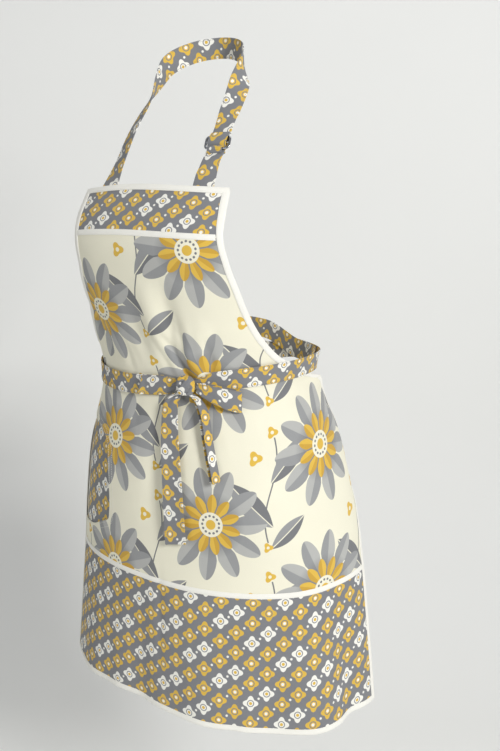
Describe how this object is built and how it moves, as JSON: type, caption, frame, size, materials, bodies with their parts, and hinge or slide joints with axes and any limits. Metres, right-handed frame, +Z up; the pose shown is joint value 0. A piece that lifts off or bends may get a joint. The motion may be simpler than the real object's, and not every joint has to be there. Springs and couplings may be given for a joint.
{
  "type": "hostess apron",
  "caption": "Bib apron in its worn form, with a neck strap and slider, wrap-round waist ties in a front bow, a side pocket and a deep hem band.",
  "frame": {"origin": "nape of the neck, on the inner face of the neck strap that carries the apron", "axes": "+Z up, the front faces -Y, +X to the wearer's left"},
  "size_m": [0.4211, 0.2812, 0.8371],
  "materials": {
    "main_print": "printed cotton",
    "contrast_print": "printed cotton",
    "binding": "plain white cotton",
    "nickel": "nickel plated wire"
  },
  "bodies": {
    "root": {"body_panel": "main_print", "bib_band": "contrast_print", "hem_band": "contrast_print", "pocket_facing": "contrast_print", "neck_strap": "contrast_print", "slider_strap": "contrast_print", "tie_left": "contrast_print", "tie_right": "contrast_print", "bow_knot": "contrast_print", "bow_loop": "contrast_print", "tie_end_long": "contrast_print", "tie_end_short": "contrast_print", "bib_trim": "binding", "hem_trim": "binding", "binding_bib_top": "binding", "binding_hem": "binding", "binding_armhole_left": "binding", "binding_armhole_right": "binding", "binding_side_left": "binding", "binding_side_right": "binding", "slider": "nickel"}
  },
  "joints": []
}
